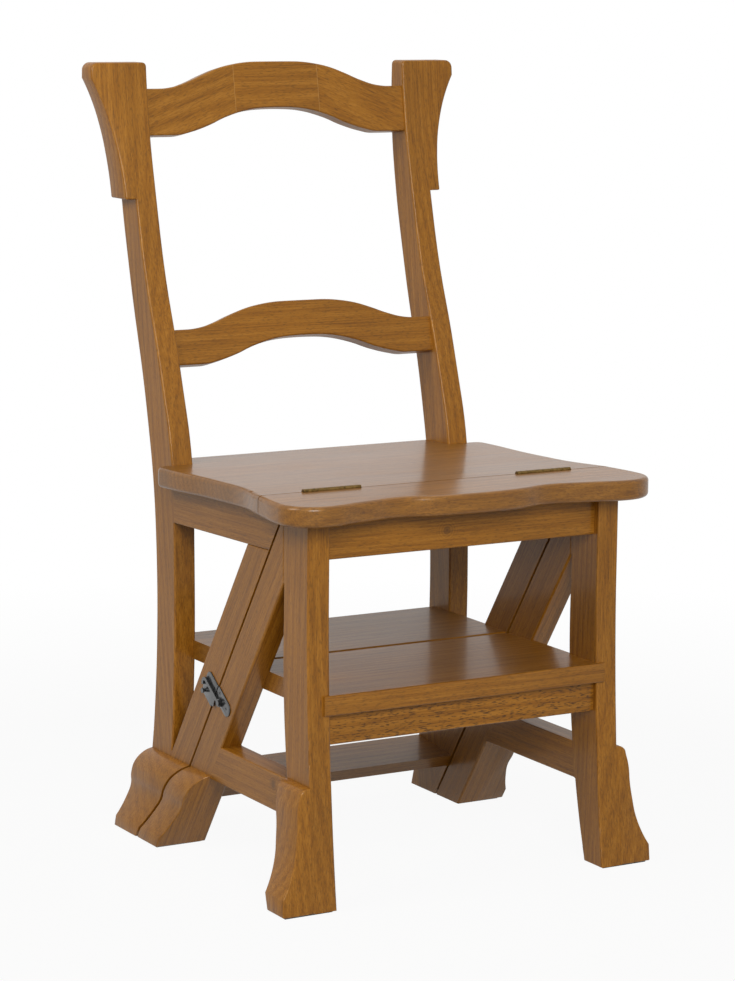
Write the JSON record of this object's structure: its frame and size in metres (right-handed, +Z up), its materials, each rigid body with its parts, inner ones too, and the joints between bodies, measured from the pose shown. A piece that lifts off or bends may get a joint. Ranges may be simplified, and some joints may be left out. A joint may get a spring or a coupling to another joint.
{
  "type": "folding step stool chair",
  "caption": "Wooden side chair whose back half swings over a hinged seat and stands on its ear tops as a set of library steps.",
  "frame": {"origin": "on the floor, at the middle of the whole chair's outline as stored (closed, as a chair)", "axes": "+Z up from the floor, -Y out of the front of the seat, +X towards the right side seen from the front, where the latch is on the -X side"},
  "size_m": [0.4884, 0.5083, 0.9],
  "materials": {
    "frame_wood": "stained hardwood under satin lacquer",
    "board_wood": "stained hardwood under glossy satin lacquer",
    "dowel_wood": "plain beech, glued",
    "hinge_brass": "darkened antique brass",
    "latch_iron": "glossy black enamel on steel",
    "screw_steel": "zinc-plated steel",
    "glide_plastic": "dark moulded plastic"
  },
  "bodies": {
    "front_frame": {"brace_foot_left": "frame_wood", "brace_foot_right": "frame_wood", "brace_glides": "glide_plastic", "front_apron": "frame_wood", "front_brace_left": "frame_wood", "front_brace_right": "frame_wood", "front_dowels": "dowel_wood", "front_foot_left": "frame_wood", "front_foot_right": "frame_wood", "front_leg_glides": "glide_plastic", "front_leg_left": "frame_wood", "front_leg_right": "frame_wood", "front_seat_board": "board_wood", "front_seat_screws": "screw_steel", "front_tread": "board_wood", "hinge_front_leaves": "hinge_brass", "hinge_front_screws": "hinge_brass", "hinge_pins": "hinge_brass", "latch_hook_plate": "latch_iron", "latch_hook_plate_screws": "latch_iron", "latch_pivot": "latch_iron", "low_rail_left": "frame_wood", "low_rail_right": "frame_wood", "tread_rail": "frame_wood"},
    "back_frame": {"back_post_left": "frame_wood", "back_post_right": "frame_wood", "crest_rail_left_end": "frame_wood", "crest_rail_middle": "frame_wood", "crest_rail_right_end": "frame_wood", "ear_block_left": "frame_wood", "ear_block_right": "frame_wood", "hinge_rear_leaves": "hinge_brass", "hinge_rear_screws": "hinge_brass", "latch_catch_plate": "latch_iron", "latch_catch_plate_screws": "latch_iron", "latch_stud": "latch_iron", "low_board": "frame_wood", "lower_rail_left_end": "frame_wood", "lower_rail_middle": "frame_wood", "lower_rail_right_end": "frame_wood", "rear_apron": "frame_wood", "rear_brace_left": "frame_wood", "rear_brace_right": "frame_wood", "rear_dowels": "dowel_wood", "rear_foot_left": "frame_wood", "rear_foot_right": "frame_wood", "rear_leg_glides": "glide_plastic", "rear_seat_board": "board_wood", "rear_seat_screws": "screw_steel", "rear_tread": "board_wood", "side_apron_left": "frame_wood", "side_apron_right": "frame_wood"},
    "latch_hook_arm": {"latch_hook": "latch_iron"}
  },
  "joints": [
    {"name": "seat_fold", "type": "hinge", "parent": "front_frame", "child": "back_frame", "pos_m": [0, -0.1573, 0.4503], "axis": [1, 0, 0], "range_deg": [0, 180]},
    {"name": "latch_swing", "type": "hinge", "parent": "front_frame", "child": "latch_hook_arm", "pos_m": [-0.2, -0.01739, 0.18918], "axis": [1, 0, 0], "range_deg": [-14, 75]}
  ]
}
